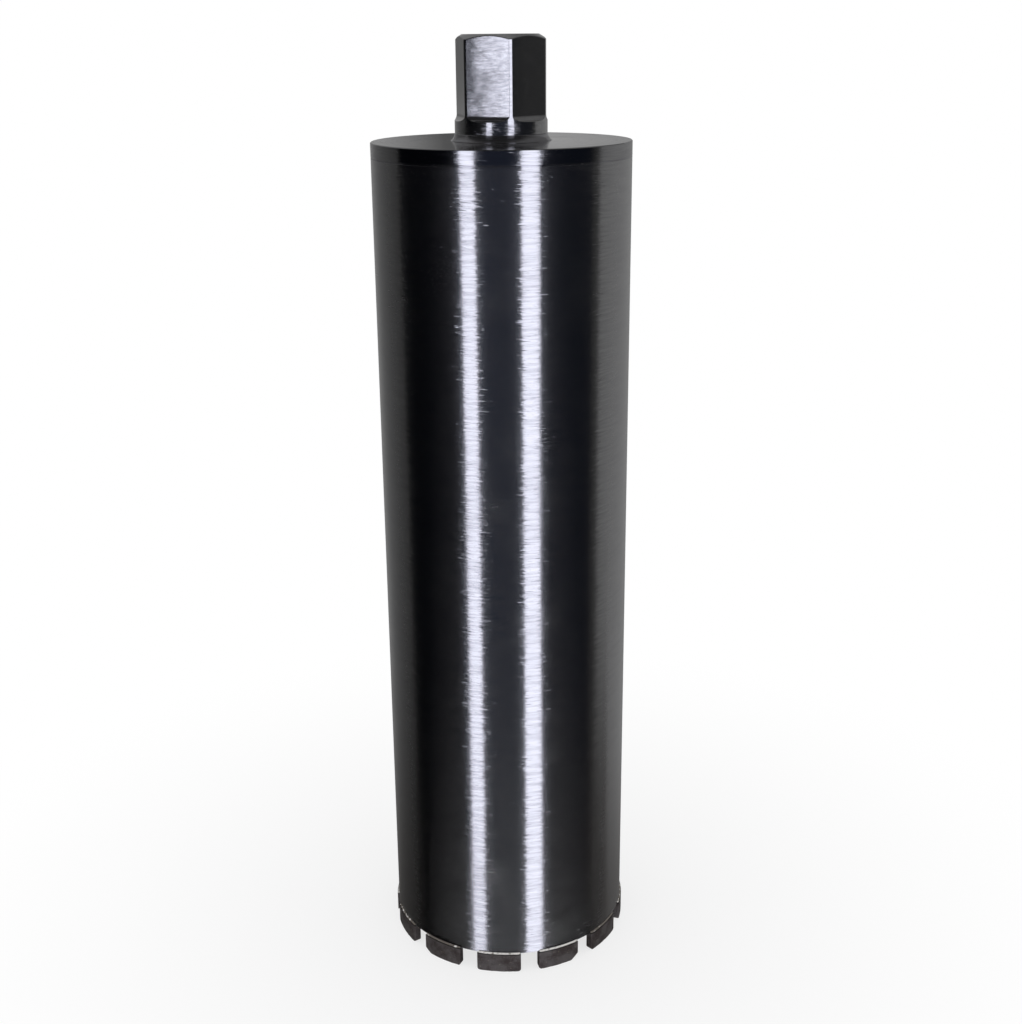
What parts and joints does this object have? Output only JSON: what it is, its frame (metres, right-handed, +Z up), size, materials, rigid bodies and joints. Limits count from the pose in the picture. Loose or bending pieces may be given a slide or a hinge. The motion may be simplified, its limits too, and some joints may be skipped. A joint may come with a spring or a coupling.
{
  "type": "diamond core bit",
  "caption": "Wet diamond core bit: thin steel barrel with a brazed crown of diamond segments, welded end plate and female-threaded hexagonal hub.",
  "frame": {"origin": "on the axis of rotation, in the plane of the segments' cutting faces, on which the bit stands", "axes": "+Z up along the axis of rotation, from the cutting faces to the hub; two of the hub's flats face +Y and -Y"},
  "size_m": [0.132, 0.132, 0.49],
  "materials": {
    "ground_steel": "ground round the barrel, bright, finely brushed",
    "turned_steel": "fine turned, satin",
    "turned_weld": "weld turned flush, satin",
    "weld_metal": "as welded, rippled",
    "milled_steel": "milled flats and turned neck, bright",
    "sintered_metal": "sintered, rough, dull",
    "silver_solder": "bright silver solder"
  },
  "bodies": {
    "root": {"barrel": "ground_steel", "end_plate": "turned_steel", "rim_weld": "turned_weld", "hub": "milled_steel", "hub_weld_outer": "turned_weld", "hub_weld_inner": "weld_metal", "segment_01": "sintered_metal", "segment_02": "sintered_metal", "segment_03": "sintered_metal", "segment_04": "sintered_metal", "segment_05": "sintered_metal", "segment_06": "sintered_metal", "segment_07": "sintered_metal", "segment_08": "sintered_metal", "segment_09": "sintered_metal", "segment_10": "sintered_metal", "segment_11": "sintered_metal", "segment_12": "sintered_metal", "braze_01": "silver_solder", "braze_02": "silver_solder", "braze_03": "silver_solder", "braze_04": "silver_solder", "braze_05": "silver_solder", "braze_06": "silver_solder", "braze_07": "silver_solder", "braze_08": "silver_solder", "braze_09": "silver_solder", "braze_10": "silver_solder", "braze_11": "silver_solder", "braze_12": "silver_solder"}
  },
  "joints": []
}
